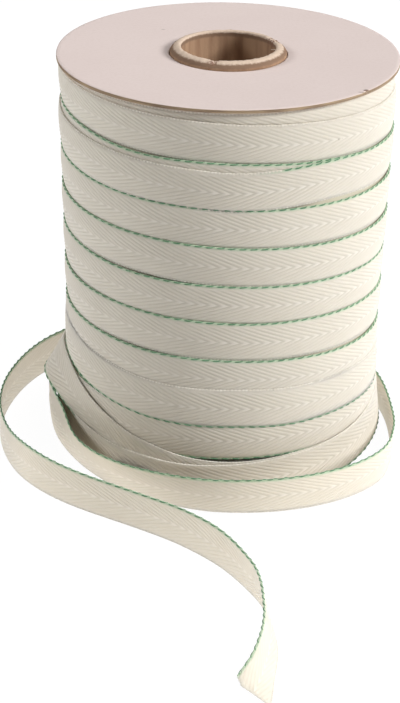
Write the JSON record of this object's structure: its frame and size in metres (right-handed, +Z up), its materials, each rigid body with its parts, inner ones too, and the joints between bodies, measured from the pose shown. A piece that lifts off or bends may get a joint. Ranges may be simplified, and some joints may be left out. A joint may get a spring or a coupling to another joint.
{
  "type": "spool of twill tape",
  "caption": "Card spool with herringbone cotton twill tape wound in a helix, its loose end trailing round the foot and out in front.",
  "frame": {"origin": "middle of the footprint of the spool and its loose tape, on the surface it stands on", "axes": "+Z up along the spool's axis, out of the tube's proud rim; -Y the way the loose end runs out in front, so Y is the longest extent; +X to the right, seen from the front"},
  "size_m": [0.1346, 0.2524, 0.1393],
  "materials": {
    "tube_card": "brown spiral-wound card, rough and torn at the rim",
    "disc_card": "pale kraft card with fine flecks, brown at the cut edge",
    "cotton_tape": "unbleached cotton in herringbone twill, with a green yarn along one selvedge"
  },
  "bodies": {
    "root": {"core_tube": "tube_card", "top_disc": "disc_card", "bottom_disc": "disc_card", "wound_tape": "cotton_tape", "loose_tape": "cotton_tape"}
  },
  "joints": []
}
